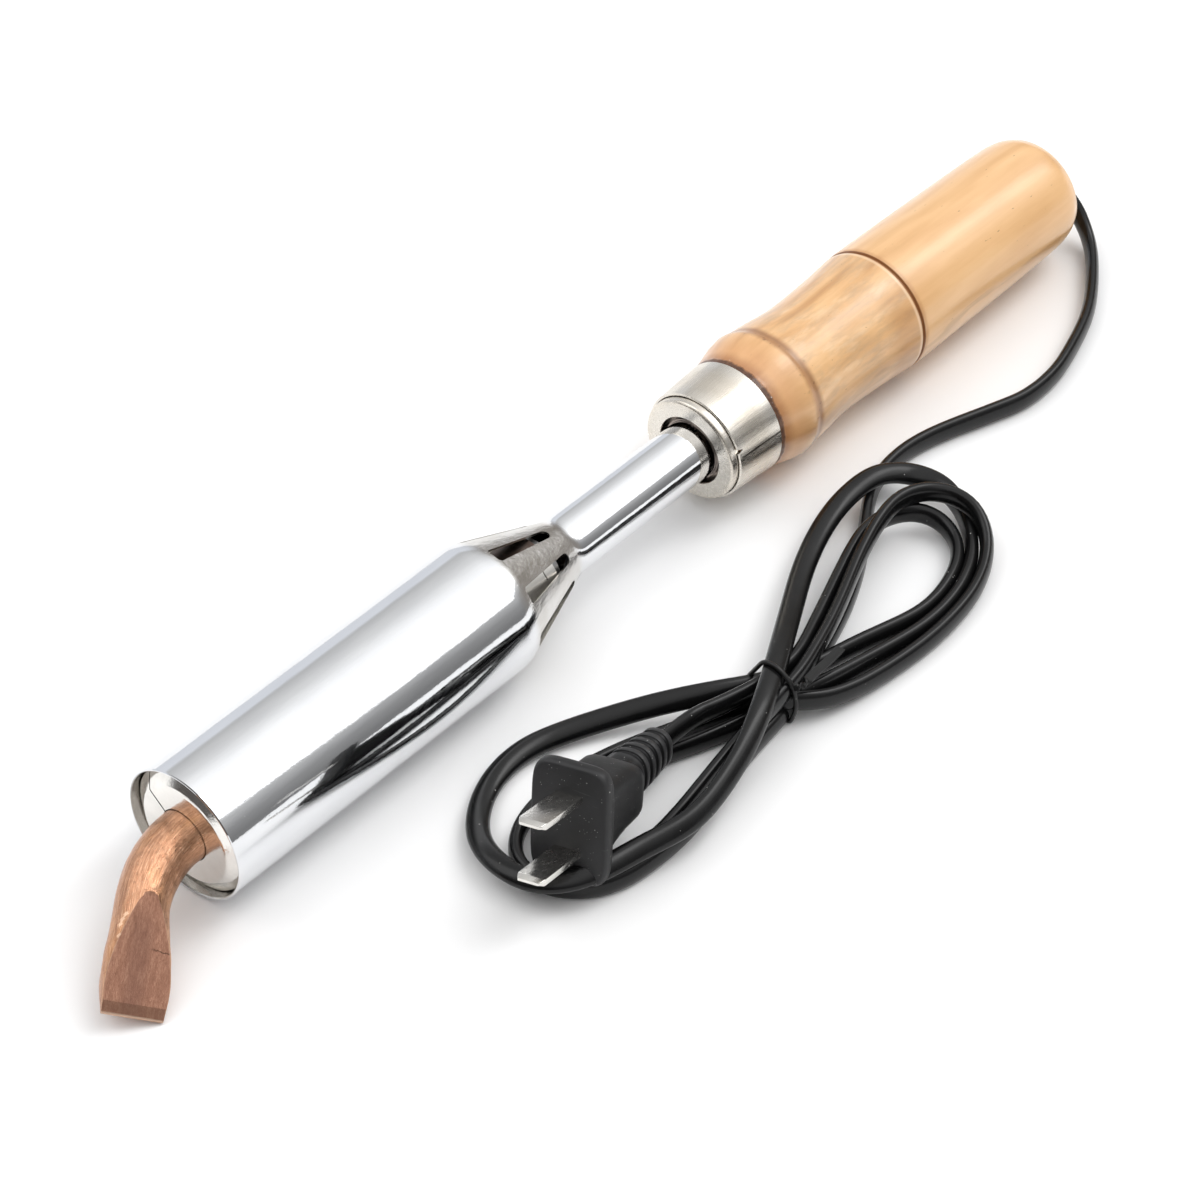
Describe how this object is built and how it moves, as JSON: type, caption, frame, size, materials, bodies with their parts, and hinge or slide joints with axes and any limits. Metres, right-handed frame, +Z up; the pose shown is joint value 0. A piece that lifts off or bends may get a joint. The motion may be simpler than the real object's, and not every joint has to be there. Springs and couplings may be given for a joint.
{
  "type": "electric soldering iron",
  "caption": "Mains soldering iron with a bent copper chisel bit, plated barrel with a slotted cone, slim neck, turned wooden handle and a flat cord with a moulded plug",
  "frame": {"origin": "on the bench under the middle of the iron's bounding box, without the cord and plug", "axes": "+X along the iron from the bit to the handle, +Z up, the bit bends toward -Y"},
  "size_m": [0.3395, 0.0912, 0.0326],
  "materials": {
    "copper": "hammered and wire brushed copper",
    "polished_nickel": "polished nickel plated disc",
    "bright_chrome": "bright plated sheet",
    "satin_nickel": "satin nickel plated sheet",
    "dark_steel": "heat darkened steel",
    "dull_steel": "plain steel",
    "bright_screw": "zinc plated steel",
    "tinned": "tinned steel sheet",
    "mica": "layered mica",
    "resistance_wire": "oxidised resistance ribbon",
    "ceramic": "unglazed ceramic",
    "brass_screw": "plain brass",
    "varnished_wood": "turned and varnished",
    "cord_black": "satin black sheath",
    "plug_black": "moulded satin black",
    "insert_grey": "moulded insert",
    "tie_black": "plastic covered wire",
    "blade_nickel": "nickel plated brass",
    "core_brown": "core insulation",
    "core_blue": "core insulation"
  },
  "bodies": {
    "iron": {"outer_shell": "bright_chrome", "front_disc": "polished_nickel", "clamp_collar": "dull_steel", "core_tube": "dull_steel", "bit_stop": "dull_steel", "mica_inner": "mica", "heating_winding": "resistance_wire", "mica_outer": "mica", "heater_jacket": "tinned", "jacket_binding": "dull_steel", "rear_spacer": "ceramic", "ceramic_beads": "ceramic", "lead_a": "dull_steel", "lead_b": "dull_steel", "neck_collar": "dark_steel", "neck_flange": "dark_steel", "flange_screws": "bright_screw", "ferrule_cap": "satin_nickel", "ferrule_band": "satin_nickel", "handle": "varnished_wood", "terminal_block": "ceramic", "terminal_screws": "brass_screw", "live_core": "core_brown", "neutral_core": "core_blue", "cord_inner": "cord_black", "cord_clip": "insert_grey", "clip_screws": "bright_screw", "cord_lead": "cord_black", "cord_hank": "cord_black", "cord_tie": "tie_black", "cord_plug_lead": "cord_black", "plug_body": "plug_black", "plug_bridge": "insert_grey", "plug_blade_live": "blade_nickel", "plug_blade_neutral": "blade_nickel", "plug_core_live": "core_brown", "plug_core_neutral": "core_blue"},
    "bit": {"copper_bit": "copper"},
    "screw": {"clamp_screw": "bright_screw"}
  },
  "joints": [
    {"name": "bit_slide", "type": "slide", "parent": "iron", "child": "bit", "axis": [-1, 0, 0], "range_m": [0, 0.05]},
    {"name": "clamp_screw_turn", "type": "hinge", "parent": "iron", "child": "screw", "pos_m": [-0.1151, 0.0031, 0.0163], "axis": [0, 0.9659, -0.2588], "range_deg": [0, 360]}
  ]
}
